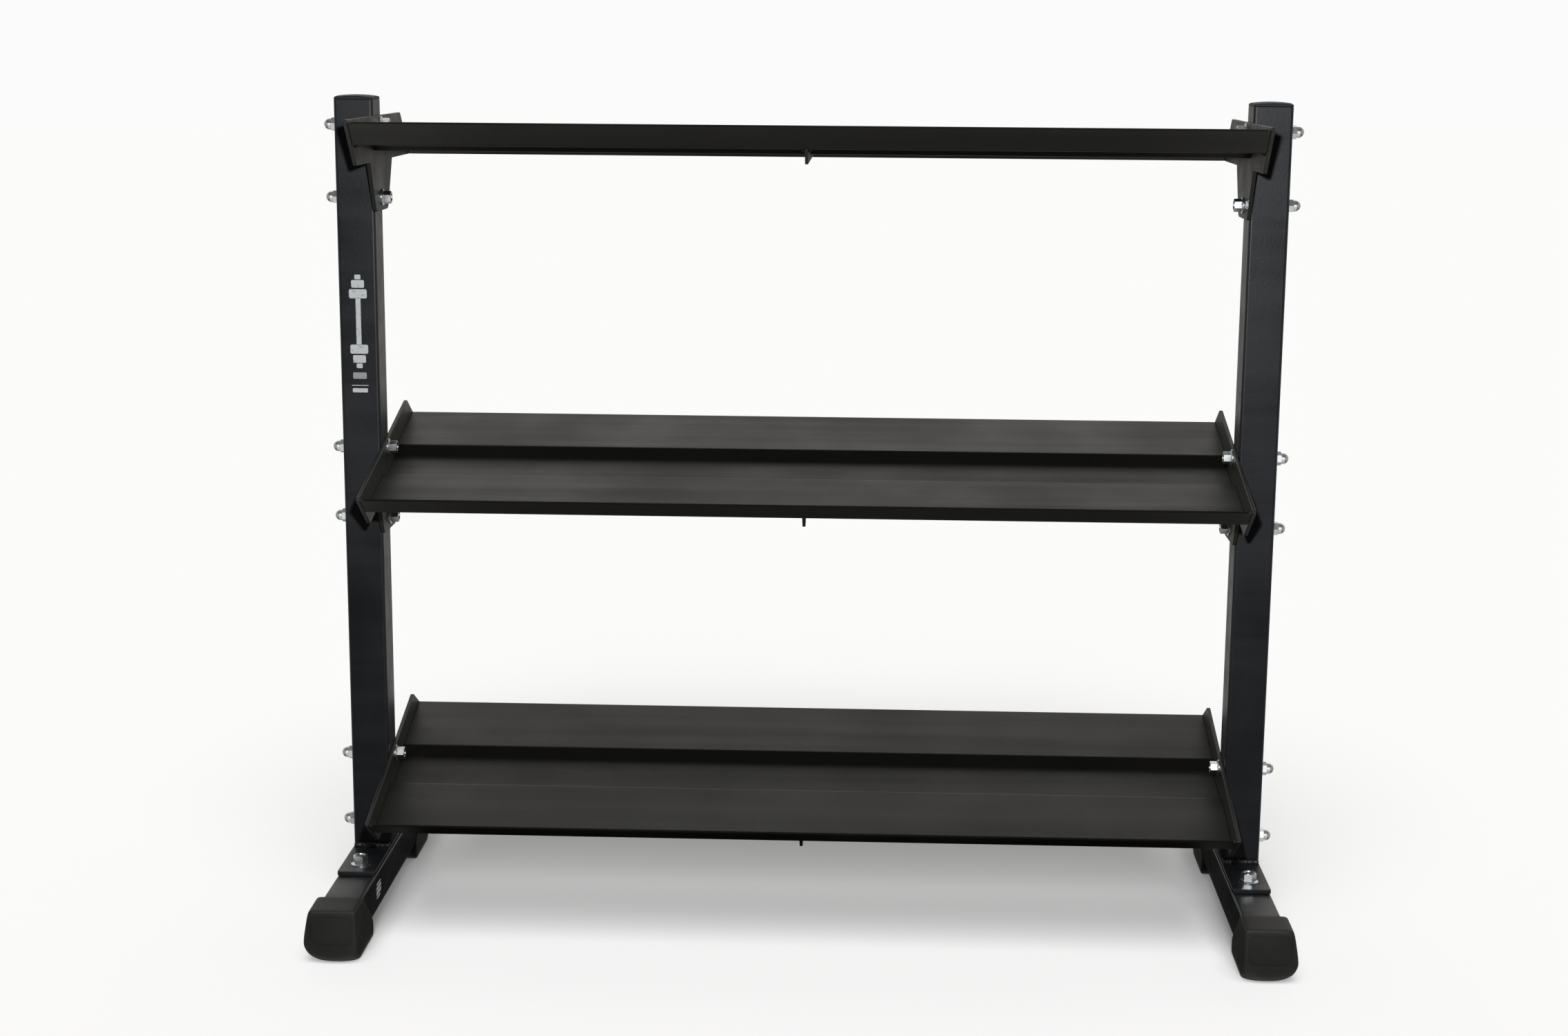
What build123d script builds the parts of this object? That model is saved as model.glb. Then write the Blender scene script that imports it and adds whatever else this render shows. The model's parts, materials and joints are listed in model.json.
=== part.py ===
from build123d import *
from collections import namedtuple
import os

# Three-tier dumbbell rack. Millimetres, +Z up, the user stands at -Y.
# Origin: centre of the footprint, on the floor.

# ---------------------------------------------------------------- driving dimensions
# Frame: a square tube upright on a square tube foot at each side
tube_size = 50.8
tube_wall = 2.0
tube_corner_radius = 4.0
clear_span = 1130.0             # between the inner faces of the uprights
upright_offset = 8.0            # upright centre line, behind the middle of the foot
upright_top = 1085.5
foot_tube_bottom = 21.0         # the boots hold the foot tube this far off the floor
foot_tube_length = 500.0

# Base plate: welded under each upright and bolted to the foot tube
base_plate_length = 265.0
base_plate_thickness = 6.0
base_plate_corner_radius = 3.0
base_bolt_spacing = 203.0
base_weld_leg = 6.0

# Rubber boot on each end of a foot tube
footprint_depth = 523.0         # between the two front faces
boot_inner_wall = 2.5
boot_outer_wall = 17.0
boot_outer_draft = 10.0         # the outer side slopes in by this much up to the top
boot_top_cover = 3.0
boot_top_length = 50.0          # from the outer end to the rear edge of the top
boot_sole_length = 113.0
boot_front_height = 70.0
boot_front_undercut = 4.0       # the front face runs back by this much down to the floor
boot_toe_radius = 22.0
boot_top_radius = 5.0
boot_edge_radius = 2.5
boot_corner_radius = 15.0

# Plastic cap in the top of each upright
cap_thickness = 6.0
cap_dome_radius = 190.0
cap_edge_radius = 2.0
cap_plug_depth = 18.0
cap_plug_wall = 2.0
cap_plug_radius = 3.0

# Shelves: a bent tray welded between two end plates, with a rib under its middle.
# Shelf frame: y runs back along the tray, z is square to it, and the origin is the
# front top corner of the end plates.
plate_thickness = 5.0
plate_top_length = 338.0
plate_depth = 58.0
plate_front_run = 55.0          # how far the front edge leans back over the plate's depth
plate_rear_run = 62.0
plate_corner_radius = 2.5
tail_top_half_width = 74.0
tail_bottom_half_width = 38.0
tail_overlap = 8.0              # the tail starts this far inside the plate's lower edge
tail_below_bolt = 17.0
tail_corner_radius = 11.0

sheet_thickness = 3.0
sheet_bend_radius = 4.0         # on the centre line of the sheet
sheet_edge_gap = 1.0            # the sheet lies this far inside the plates' slanting edges
sheet_lip_drop = 3.0            # the lip's top edge lies this far below the plates' top edge
tray_surface_depth = 29.0
channel_front = 150.0
channel_rear = 249.0
channel_depth = 12.0
rib_thickness = 4.0
rib_depth = 51.0

tray_weld_leg = 4.0
tray_weld_length = 26.0
tray_weld_margin = 12.0         # clear of the bends

Shelf = namedtuple("Shelf", "tilt bolt_height bolt_along bolt_below")
shelves = {
    "bottom": Shelf(tilt=15.0, bolt_height=203.0, bolt_along=196.0, bolt_below=10.0),
    "middle": Shelf(tilt=13.5, bolt_height=628.0, bolt_along=196.0, bolt_below=10.0),
    "top": Shelf(tilt=0.0, bolt_height=1053.0, bolt_along=206.0, bolt_below=12.0),
}
shelf_bolt_spacing = 94.0

# Fasteners
Bolt = namedtuple("Bolt", "thread hole across_flats flange head length")
shelf_bolt = Bolt(thread=10.0, hole=11.0, across_flats=15.0, flange=21.8, head=12.0, length=68.0)
foot_bolt = Bolt(thread=12.0, hole=13.5, across_flats=18.0, flange=26.0, head=13.0, length=25.0)
flange_height = 2.5
head_dish_depth = 1.6
head_chamfer = 1.0
thread_clearance = 0.2
acorn_height = 18.0
acorn_hex_height = 8.5
acorn_across_flats = 16.0
acorn_bore_depth = 13.5
weld_nut_height = 10.0

# ---------------------------------------------------------------- worked-out dimensions
sides = {"left": -1, "right": 1}
tube_half = tube_size / 2
upright_x = clear_span / 2 + tube_half
upright_outer_x = clear_span / 2 + tube_size
foot_tube_top = foot_tube_bottom + tube_size
base_plate_top = foot_tube_top + base_plate_thickness
plate_inner_x = clear_span / 2 - plate_thickness
sheet_centre_depth = tray_surface_depth + sheet_thickness / 2
sheet_underside = tray_surface_depth + sheet_thickness
sheet_edge_inset = sheet_edge_gap + sheet_thickness / 2
bolt_line = [upright_offset - base_bolt_spacing / 2, upright_offset + base_bolt_spacing / 2]


def tube_section(size, radius, wall):
    """Cross-section of a square tube."""
    return RectangleRounded(size, size, radius) - RectangleRounded(
        size - 2 * wall, size - 2 * wall, radius - wall
    )


def cylinder_x(diameter, length):
    """Cylinder from the origin along +X."""
    return extrude(Plane.YZ * Circle(diameter / 2), length)


def hexagon(across_flats):
    return RegularPolygon(across_flats / 2, 6, major_radius=False)


def in_shelf(shelf):
    """Location of a shelf's frame in the rack."""
    turn = Rot(shelf.tilt, 0, 0)
    bolt = turn * Pos(0, shelf.bolt_along, -shelf.bolt_below)
    origin = Vector(0, upright_offset, shelf.bolt_height) - bolt.position
    return Pos(origin) * turn


def bolt_heights(shelf):
    return [shelf.bolt_height, shelf.bolt_height - shelf_bolt_spacing]


# ---------------------------------------------------------------- frame
def upright(side):
    tube = extrude(tube_section(tube_size, tube_corner_radius, tube_wall), upright_top - base_plate_top)
    tube = Pos(side * upright_x, upright_offset, base_plate_top) * tube
    for shelf in shelves.values():
        for height in bolt_heights(shelf):
            drill = cylinder_x(shelf_bolt.hole, 2 * tube_size)
            tube -= Pos(side * upright_x - tube_size, upright_offset, height) * drill
    return tube


def base_plate(side):
    plate = extrude(
        RectangleRounded(tube_size, base_plate_length, base_plate_corner_radius), base_plate_thickness
    )
    plate = Pos(side * upright_x, upright_offset, foot_tube_top) * plate
    for y in bolt_line:
        plate -= Pos(side * upright_x, y, foot_tube_top) * Cylinder(foot_bolt.hole / 2, tube_half)
    return plate


def base_weld(side):
    """Fillet welds along the front and rear foot of the upright."""
    leg = base_weld_leg
    bead = extrude(Plane.YZ * Polygon((0, 0), (-leg, 0), (0, leg), align=None), tube_half, both=True)
    front = Pos(side * upright_x, upright_offset - tube_half, base_plate_top) * bead
    rear = Pos(side * upright_x, upright_offset + tube_half, base_plate_top) * Rot(0, 0, 180) * bead
    return [front, rear]


def foot_tube(side):
    section = Plane.XZ * tube_section(tube_size, tube_corner_radius, tube_wall)
    tube = extrude(section, foot_tube_length / 2, both=True)
    tube = Pos(side * upright_x, 0, foot_tube_bottom + tube_half) * tube
    for y in bolt_line:
        tube -= Pos(side * upright_x, y, foot_tube_top) * Cylinder(foot_bolt.hole / 2, tube_half)
    return tube


def boot(side, end):
    """Rubber boot for one end of a foot tube: side is -1 or +1, end is -1 (front) or +1."""
    crown = foot_tube_top + boot_top_cover
    toe = footprint_depth / 2
    outline = FilletPolyline(
        (toe - boot_sole_length, 0),
        (toe - boot_front_undercut, 0),
        (toe, boot_front_height),
        (toe - boot_top_length, crown),
        (toe - boot_sole_length, foot_tube_bottom),
        radius=[boot_toe_radius, boot_top_radius, boot_edge_radius],
    )
    face = make_face(outline + Line(outline @ 1, outline @ 0))
    inner = tube_half + boot_inner_wall
    outer = tube_half + boot_outer_wall
    body = extrude(Plane.YZ * face, outer, both=True)
    sole, top = [
        Pos((outside - inner) / 2 * side * end, 0, z) * RectangleRounded(outside + inner, 2 * toe, boot_corner_radius)
        for outside, z in ((outer, 0), (outer - boot_outer_draft, crown))
    ]
    body &= loft([sole, top])
    body = Rot(0, 0, 90 - 90 * end) * body
    socket = extrude(Plane.XZ * RectangleRounded(tube_size, tube_size, tube_corner_radius),
                     foot_tube_length / 2, both=True)
    body -= Pos(0, 0, foot_tube_bottom + tube_half) * socket
    return Pos(side * upright_x, 0, 0) * body


def upright_cap(side):
    top = extrude(RectangleRounded(tube_size, tube_size, tube_corner_radius), cap_thickness)
    top &= Pos(0, 0, cap_thickness - cap_dome_radius) * Sphere(cap_dome_radius)
    top = fillet(top.faces().sort_by(Axis.Z)[-1].edges(), cap_edge_radius)
    plug_size = tube_size - 2 * tube_wall
    plug = tube_section(plug_size, cap_plug_radius, cap_plug_wall)
    top += extrude(plug, -cap_plug_depth)
    return Pos(side * upright_x, upright_offset, upright_top) * top


# ---------------------------------------------------------------- shelves
def front_edge(below):
    """Shelf-frame y of the end plate's slanting front edge at a depth."""
    return below * plate_front_run / plate_depth


def rear_edge(below):
    return plate_top_length + below * plate_rear_run / plate_depth


def tray_line():
    """Centre line of the bent sheet: lip, front panel, channel, rear panel and rear flange."""
    inset = sheet_edge_inset * 1.4
    flange_foot = plate_depth - sheet_edge_gap
    deep = sheet_centre_depth + channel_depth
    return [
        (front_edge(sheet_lip_drop) + inset, -sheet_lip_drop),
        (front_edge(sheet_centre_depth) + inset, -sheet_centre_depth),
        (channel_front, -sheet_centre_depth),
        (channel_front + channel_depth, -deep),
        (channel_rear - channel_depth, -deep),
        (channel_rear, -sheet_centre_depth),
        (rear_edge(sheet_centre_depth) - inset, -sheet_centre_depth),
        (rear_edge(flange_foot) - inset, -flange_foot),
    ]


def tray_section():
    return trace(FilletPolyline(*tray_line(), radius=sheet_bend_radius), sheet_thickness)


def tray(shelf):
    return in_shelf(shelf) * extrude(Plane.YZ * tray_section(), plate_inner_x, both=True)


def end_plate(shelf, side):
    body = FilletPolyline(
        (0, 0),
        (plate_top_length, 0),
        (rear_edge(plate_depth), -plate_depth),
        (front_edge(plate_depth), -plate_depth),
        radius=plate_corner_radius,
        close=True,
    )
    # The tail hangs straight down the upright whatever the shelf's tilt.
    bolt = Pos(shelf.bolt_along, -shelf.bolt_below) * Rot(0, 0, -shelf.tilt)
    foot = -shelf_bolt_spacing - tail_below_bolt
    tail = FilletPolyline(
        (shelf.bolt_along - tail_top_half_width, tail_overlap - plate_depth),
        (bolt * Pos(-tail_bottom_half_width, foot)).position,
        (bolt * Pos(tail_bottom_half_width, foot)).position,
        (shelf.bolt_along + tail_top_half_width, tail_overlap - plate_depth),
        radius=tail_corner_radius,
    )
    outline = make_face(body) + make_face(tail + Line(tail @ 1, tail @ 0))
    for drop in (0, shelf_bolt_spacing):
        outline -= bolt * Pos(0, -drop) * Circle(shelf_bolt.hole / 2)
    plate = in_shelf(shelf) * extrude(Plane.YZ * outline, plate_thickness / 2, both=True)
    return Pos(side * (plate_inner_x + plate_thickness / 2), 0, 0) * plate


def centre_rib(shelf):
    """Flat rib under the middle of the tray, cut to the tray's underside."""
    line = tray_line()[1:-1]
    low = -rib_depth
    outline = Polygon(*line, (line[-1][0] + line[-1][1] - low, low), (front_edge(rib_depth), low), align=None)
    outline = (outline - tray_section()).faces().sort_by(SortBy.AREA)[-1]
    return in_shelf(shelf) * extrude(Plane.YZ * outline, rib_thickness / 2, both=True)


def tray_welds(shelf):
    """Stitch welds under the tray, in its corners with the end plates and the rib."""
    starts = [front_edge(sheet_underside) + tray_weld_margin, channel_rear + tray_weld_margin]
    ends = [channel_front - tray_weld_margin, rear_edge(sheet_underside) - tray_weld_margin]
    starts += [end - tray_weld_length for end in ends]
    leg = tray_weld_leg
    corners = [(-plate_inner_x, 1), (-rib_thickness / 2, -1), (rib_thickness / 2, 1), (plate_inner_x, -1)]
    beads = []
    for x, way in corners:
        section = Plane.XZ * Polygon((0, 0), (way * leg, 0), (0, -leg), align=None)
        bead = extrude(section, tray_weld_length / 2, both=True)
        for start in starts:
            middle = start + tray_weld_length / 2
            beads.append(in_shelf(shelf) * Pos(x, middle, -sheet_underside) * bead)
    return beads


# ---------------------------------------------------------------- fasteners, along +Z from the seat
def flange_bolt(bolt):
    """Hex flange bolt with a dished head: the seat is at z = 0 and the shank points down."""
    cone = loft([Circle(bolt.flange / 2), Pos(0, 0, flange_height) * Circle(bolt.across_flats / 2)])
    rim = Cylinder(bolt.flange / 2, flange_height / 2, align=(Align.CENTER, Align.CENTER, Align.MIN))
    head = rim + Pos(0, 0, flange_height / 2) * cone
    head += extrude(hexagon(bolt.across_flats), bolt.head)
    lid = Circle(bolt.across_flats / 2 + head_chamfer)
    head &= extrude(Circle(bolt.flange / 2), bolt.head - head_chamfer) + Pos(
        0, 0, bolt.head - head_chamfer) * extrude(lid, head_chamfer, taper=45)
    dish = Pos(0, 0, bolt.head) * Cylinder(bolt.across_flats / 3, 2 * head_dish_depth)
    shank = extrude(Circle(bolt.thread / 2), -bolt.length)
    return head - dish + shank


def acorn_nut():
    ball = (acorn_across_flats - 1) / 2
    dome = Pos(0, 0, acorn_height - ball) * Sphere(ball)
    dome += extrude(Circle(ball), acorn_height - ball)
    nut = extrude(hexagon(acorn_across_flats), acorn_hex_height)
    nut &= extrude(Circle(acorn_across_flats / 2 + head_chamfer), acorn_hex_height)
    return nut + dome - extrude(Circle((shelf_bolt.thread + thread_clearance) / 2), acorn_bore_depth)


def shelf_bolts(shelf, side):
    """Two bolts, heads on the inner face of the end plate, through the upright."""
    turn = Rot(0, -90 * side, 0)
    return [Pos(side * plate_inner_x, upright_offset, z) * turn * flange_bolt(shelf_bolt)
            for z in bolt_heights(shelf)]


def acorn_nuts(shelf, side):
    turn = Rot(0, 90 * side, 0)
    return [Pos(side * upright_outer_x, upright_offset, z) * turn * acorn_nut()
            for z in bolt_heights(shelf)]


def foot_bolts(side):
    return [Pos(side * upright_x, y, base_plate_top) * flange_bolt(foot_bolt) for y in bolt_line]


def foot_weld_nuts(side):
    """Nuts welded under the top wall, inside the foot tube."""
    nut = hexagon(foot_bolt.across_flats) - Circle((foot_bolt.thread + thread_clearance) / 2)
    seat = foot_tube_top - tube_wall
    return [Pos(side * upright_x, y, seat) * extrude(nut, -weld_nut_height) for y in bolt_line]


# ---------------------------------------------------------------- nodes
def build_nodes():
    nodes = {}
    for side_name, side in sides.items():
        nodes[f"{side_name}_upright"] = upright(side)
        nodes[f"{side_name}_upright_cap"] = upright_cap(side)
        nodes[f"{side_name}_base_plate"] = base_plate(side)
        nodes[f"{side_name}_base_welds"] = base_weld(side)
        nodes[f"{side_name}_foot_tube"] = foot_tube(side)
        nodes[f"{side_name}_front_boot"] = boot(side, -1)
        nodes[f"{side_name}_rear_boot"] = boot(side, 1)
        nodes[f"{side_name}_foot_bolts"] = foot_bolts(side)
        nodes[f"{side_name}_foot_weld_nuts"] = foot_weld_nuts(side)
    for shelf_name, shelf in shelves.items():
        nodes[f"{shelf_name}_tray"] = tray(shelf)
        nodes[f"{shelf_name}_centre_rib"] = centre_rib(shelf)
        nodes[f"{shelf_name}_tray_welds"] = tray_welds(shelf)
        for side_name, side in sides.items():
            nodes[f"{shelf_name}_{side_name}_end_plate"] = end_plate(shelf, side)
            nodes[f"{shelf_name}_{side_name}_bolts"] = shelf_bolts(shelf, side)
            nodes[f"{shelf_name}_{side_name}_acorn_nuts"] = acorn_nuts(shelf, side)
    return nodes


os.makedirs("parts", exist_ok=True)
for name, shape in build_nodes().items():
    if isinstance(shape, list):
        shape = Compound(children=shape)
    export_step(shape, f"parts/{name}.step")
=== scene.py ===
import json
import math
import random

import bmesh
import bpy
from mathutils import Matrix, Vector

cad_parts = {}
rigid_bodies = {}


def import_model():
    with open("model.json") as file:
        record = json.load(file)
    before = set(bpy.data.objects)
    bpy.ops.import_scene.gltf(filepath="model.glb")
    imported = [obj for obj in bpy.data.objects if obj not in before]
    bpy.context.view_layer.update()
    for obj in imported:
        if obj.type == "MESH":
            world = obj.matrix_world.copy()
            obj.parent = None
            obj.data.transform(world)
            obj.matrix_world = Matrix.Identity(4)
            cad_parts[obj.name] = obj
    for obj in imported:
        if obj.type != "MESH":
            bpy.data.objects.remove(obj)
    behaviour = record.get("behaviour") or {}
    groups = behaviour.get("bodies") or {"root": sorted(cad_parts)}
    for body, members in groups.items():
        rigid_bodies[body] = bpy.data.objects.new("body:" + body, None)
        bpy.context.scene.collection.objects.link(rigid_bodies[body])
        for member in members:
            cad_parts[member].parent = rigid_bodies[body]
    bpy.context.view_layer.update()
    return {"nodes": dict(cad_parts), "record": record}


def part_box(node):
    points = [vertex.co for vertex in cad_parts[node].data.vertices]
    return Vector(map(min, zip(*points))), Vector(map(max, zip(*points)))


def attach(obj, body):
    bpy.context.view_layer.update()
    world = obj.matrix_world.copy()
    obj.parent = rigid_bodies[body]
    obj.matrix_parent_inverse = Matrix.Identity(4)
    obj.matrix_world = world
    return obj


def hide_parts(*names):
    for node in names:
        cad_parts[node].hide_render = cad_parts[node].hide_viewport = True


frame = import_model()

MM = 0.001
SIDES = {"left": -1, "right": 1}
ENDS = {"front": -1, "rear": 1}
SHELVES = ("top", "middle", "bottom")
nodes = frame["nodes"]

# ---------------------------------------------------------------- places from the frame, in millimetres
X, Y, Z = 0, 1, 2


def box_of(node):
    """A node's lowest and highest corners, to a tenth of a millimetre."""
    return [[round(way / MM, 1) for way in corner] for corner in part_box(node)]


upright_low, upright_high = box_of("right_upright")
TUBE_HALF = round((upright_high[X] - upright_low[X]) / 2, 1)
UPRIGHT_X = round(upright_high[X] - TUBE_HALF, 1)
UPRIGHT_Y = round(upright_high[Y] - TUBE_HALF, 1)
UPRIGHT_OUTER_X = upright_high[X]
foot_tube_low, foot_tube_high = box_of("right_foot_tube")
FOOT_TUBE_FLOOR = foot_tube_low[Z]
FOOT_TUBE_HALF_LENGTH = foot_tube_high[Y]
BASE_PLATE_TOP = box_of("right_base_plate")[1][Z]
PLATE_INNER_X = box_of("top_right_end_plate")[0][X]


# ---------------------------------------------------------------- camera
CAMERA_PLACE = (0.0881, -3.1535, 1.1596)
CAMERA_LOOKS_DOWN = 0.19387
CAMERA_TURN = 0.03755
CAMERA_ROLL = 0.00724
SENSOR_WIDTH = 36.0
LENS = 55.445

camera_data = bpy.data.cameras.new("studio_camera")
camera_data.sensor_width = SENSOR_WIDTH
camera_data.lens = LENS
camera = bpy.data.objects.new("studio_camera", camera_data)
camera.matrix_world = (
    Matrix.Translation(CAMERA_PLACE)
    @ Matrix.Rotation(CAMERA_TURN, 4, "Z")
    @ Matrix.Rotation(math.pi / 2 - CAMERA_LOOKS_DOWN, 4, "X")
    @ Matrix.Rotation(CAMERA_ROLL, 4, "Z")
)
bpy.context.collection.objects.link(camera)
bpy.context.scene.camera = camera
bpy.context.scene.view_settings.view_transform = "Standard"


# ---------------------------------------------------------------- materials
def linear(colour):
    """An sRGB hex colour as linear RGBA."""
    parts = [int(colour[i:i + 2], 16) / 255 for i in (1, 3, 5)]
    return tuple(p / 12.92 if p <= 0.04045 else ((p + 0.055) / 1.055) ** 2.4 for p in parts) + (1.0,)


def add(tree, kind, sockets=(), **settings):
    """Adds a node. Settings are its properties; sockets are (name, value or socket it is fed from) pairs."""
    node = tree.nodes.new(kind)
    for name, value in settings.items():
        setattr(node, name, value)
    for name, value in sockets:
        if isinstance(value, bpy.types.NodeSocket):
            tree.links.new(value, node.inputs[name])
        else:
            node.inputs[name].default_value = value
    return node


def new_material(name):
    material = bpy.data.materials.new(name)
    material.use_nodes = True
    material.node_tree.nodes.clear()
    return material, material.node_tree


# sizes of the patterns in the finishes, in millimetres
COAT_CLOUD = 140.0
COAT_GRAIN = 1.6
COAT_PEEL = 2.6 * COAT_GRAIN
COAT_RELIEF = 0.2
WIPE_LENGTH = 900.0
WIPE_WIDTH = 30.0
RUBBER_CLOUD = 45.0
RUBBER_GRAIN = 1.1
RUBBER_RELIEF = 0.15
PLATING_MOTTLE = 3.0
PLATING_GRAIN = 0.5
PLATING_RELIEF = 0.02
VINYL_SPOTS = 6.0
VINYL_RELIEF = 0.1
VINYL_DULL = "#9c9e9f"


def powder_coat(name, deep, light, rough):
    """Satin black powder coat, sprayed and baked on steel: a near-black film with an orange-peel
    skin, so highlights break up into soft speckle, and faint streaks where it has been wiped.
    Its grain and relief are coarser than the real film's, so that they show on so large a piece."""
    material, tree = new_material(name)
    place = add(tree, "ShaderNodeTexCoord").outputs["Object"]
    cloud = add(tree, "ShaderNodeTexNoise", [
        ("Vector", place), ("Scale", 1 / (COAT_CLOUD * MM)), ("Detail", 4.0)])
    speckle = add(tree, "ShaderNodeTexNoise", [
        ("Vector", place), ("Scale", 1 / (COAT_GRAIN * MM)), ("Detail", 3.0)])
    peel = add(tree, "ShaderNodeTexNoise", [
        ("Vector", place), ("Scale", 1 / (COAT_PEEL * MM)), ("Detail", 2.0)])
    mix = add(tree, "ShaderNodeMath", [
        (0, cloud.outputs["Fac"]), (1, speckle.outputs["Fac"])], operation="MULTIPLY")
    tint = add(tree, "ShaderNodeValToRGB", [("Fac", mix.outputs[0])])
    tint.color_ramp.elements[0].position = 0.12
    tint.color_ramp.elements[0].color = linear(deep)
    tint.color_ramp.elements[1].position = 0.42
    tint.color_ramp.elements[1].color = linear(light)
    drawn = add(tree, "ShaderNodeMapping", [
        ("Vector", place), ("Scale", [1 / (size * MM) for size in (WIPE_LENGTH, WIPE_WIDTH, WIPE_WIDTH)])])
    wiped = add(tree, "ShaderNodeTexNoise", [
        ("Vector", drawn.outputs["Vector"]), ("Scale", 1.0), ("Detail", 5.0)])
    handled = add(tree, "ShaderNodeMath", [
        (0, cloud.outputs["Fac"]), (1, wiped.outputs["Fac"])], operation="ADD")
    gloss = add(tree, "ShaderNodeMapRange", [
        ("Value", handled.outputs[0]), ("From Min", 0.75), ("From Max", 1.25),
        ("To Min", rough - 0.07), ("To Max", rough + 0.07)])
    skin = add(tree, "ShaderNodeMath", [
        (0, peel.outputs["Fac"]), (1, speckle.outputs["Fac"])], operation="ADD")
    relief = add(tree, "ShaderNodeBump", [
        ("Height", skin.outputs[0]), ("Strength", 0.4), ("Distance", COAT_RELIEF * MM)])
    shader = add(tree, "ShaderNodeBsdfPrincipled", [
        ("Base Color", tint.outputs["Color"]), ("Roughness", gloss.outputs["Result"]),
        ("Normal", relief.outputs["Normal"]), ("IOR", 1.5)])
    add(tree, "ShaderNodeOutputMaterial", [("Surface", shader.outputs["BSDF"])])
    return material


def moulded_rubber(name, deep, light):
    """Moulded black rubber or polyethylene: a dull, even black with wide, soft highlights, clouded a
    little by the mould and grained like the spark-eroded steel that it was pressed in."""
    material, tree = new_material(name)
    place = add(tree, "ShaderNodeTexCoord").outputs["Object"]
    cloud = add(tree, "ShaderNodeTexNoise", [
        ("Vector", place), ("Scale", 1 / (RUBBER_CLOUD * MM)), ("Detail", 5.0)])
    grain = add(tree, "ShaderNodeTexNoise", [
        ("Vector", place), ("Scale", 1 / (RUBBER_GRAIN * MM)), ("Detail", 2.0)])
    tint = add(tree, "ShaderNodeValToRGB", [("Fac", cloud.outputs["Fac"])])
    tint.color_ramp.elements[0].position = 0.35
    tint.color_ramp.elements[0].color = linear(deep)
    tint.color_ramp.elements[1].position = 0.7
    tint.color_ramp.elements[1].color = linear(light)
    relief = add(tree, "ShaderNodeBump", [
        ("Height", grain.outputs["Fac"]), ("Strength", 0.35), ("Distance", RUBBER_RELIEF * MM)])
    shader = add(tree, "ShaderNodeBsdfPrincipled", [
        ("Base Color", tint.outputs["Color"]), ("Roughness", 0.62),
        ("Normal", relief.outputs["Normal"]), ("IOR", 1.52)])
    add(tree, "ShaderNodeOutputMaterial", [("Surface", shader.outputs["BSDF"])])
    return material


def plated_steel(name, colour, rough):
    """Rolled or forged steel, bare or zinc plated in a bath: sharp light and dark facets like a
    mirror's, softened unevenly by the mottle of the plating and a very fine grain."""
    material, tree = new_material(name)
    place = add(tree, "ShaderNodeTexCoord").outputs["Object"]
    mottle = add(tree, "ShaderNodeTexNoise", [
        ("Vector", place), ("Scale", 1 / (PLATING_MOTTLE * MM)), ("Detail", 3.0)])
    gloss = add(tree, "ShaderNodeMapRange", [
        ("Value", mottle.outputs["Fac"]), ("From Min", 0.3), ("From Max", 0.7),
        ("To Min", rough - 0.02), ("To Max", rough + 0.04)])
    grain = add(tree, "ShaderNodeTexNoise", [
        ("Vector", place), ("Scale", 1 / (PLATING_GRAIN * MM)), ("Detail", 2.0)])
    relief = add(tree, "ShaderNodeBump", [
        ("Height", grain.outputs["Fac"]), ("Strength", 0.12), ("Distance", PLATING_RELIEF * MM)])
    shader = add(tree, "ShaderNodeBsdfPrincipled", [
        ("Base Color", linear(colour)), ("Metallic", 1.0), ("Roughness", gloss.outputs["Result"]),
        ("Normal", relief.outputs["Normal"])])
    add(tree, "ShaderNodeOutputMaterial", [("Surface", shader.outputs["BSDF"])])
    return material


def printed_vinyl(name, colour):
    """Cut vinyl film: an even, slightly satin white with soft unevenness and a few dull spots."""
    material, tree = new_material(name)
    place = add(tree, "ShaderNodeTexCoord").outputs["Object"]
    spots = add(tree, "ShaderNodeTexNoise", [
        ("Vector", place), ("Scale", 1 / (VINYL_SPOTS * MM)), ("Detail", 4.0)])
    tint = add(tree, "ShaderNodeValToRGB", [("Fac", spots.outputs["Fac"])])
    tint.color_ramp.elements[0].position = 0.25
    tint.color_ramp.elements[0].color = linear(VINYL_DULL)
    tint.color_ramp.elements[1].position = 0.45
    tint.color_ramp.elements[1].color = linear(colour)
    relief = add(tree, "ShaderNodeBump", [
        ("Height", spots.outputs["Fac"]), ("Strength", 0.1), ("Distance", VINYL_RELIEF * MM)])
    shader = add(tree, "ShaderNodeBsdfPrincipled", [
        ("Base Color", tint.outputs["Color"]), ("Roughness", 0.45), ("Normal", relief.outputs["Normal"])])
    add(tree, "ShaderNodeOutputMaterial", [("Surface", shader.outputs["BSDF"])])
    return material


frame_coat = powder_coat("satin_black_powder_coat_on_tube", "#15161a", "#1f2024", 0.42)
shelf_coat = powder_coat("satin_black_powder_coat_on_sheet", "#191918", "#252422", 0.5)
cap_plastic = moulded_rubber("black_polyethylene_cap", "#141518", "#1a1b1e")
boot_rubber = moulded_rubber("moulded_black_rubber", "#201f1e", "#2b2a28")
zinc = plated_steel("bright_zinc_plated_steel", "#c6c8ca", 0.28)
white_vinyl = printed_vinyl("white_cut_vinyl", "#dcdedf")
grey_vinyl = printed_vinyl("grey_cut_vinyl", "#a9abac")
bare_steel = plated_steel("plain_steel", "#8a8884", 0.4)


def finish_with(node, material):
    slots = nodes[node].data.materials
    if slots:
        slots[0] = material
        nodes[node].material_slots[0].material = material
    else:
        slots.append(material)


for node in nodes:
    if "cap" in node:
        coat = cap_plastic
    elif "boot" in node:
        coat = boot_rubber
    elif "weld_nuts" in node:
        coat = bare_steel
    elif "bolts" in node or "acorn" in node:
        coat = zinc
    elif any(word in node for word in ("tray", "rib", "end_plate")):
        coat = shelf_coat
    else:
        coat = frame_coat
    finish_with(node, coat)


# ---------------------------------------------------------------- modelling by hand
ALONG_Y = 0.05          # an edge whose ends are further apart than this along Y runs along Y
FACING = 0.99           # a face whose normal has this much of an axis faces that way


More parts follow.
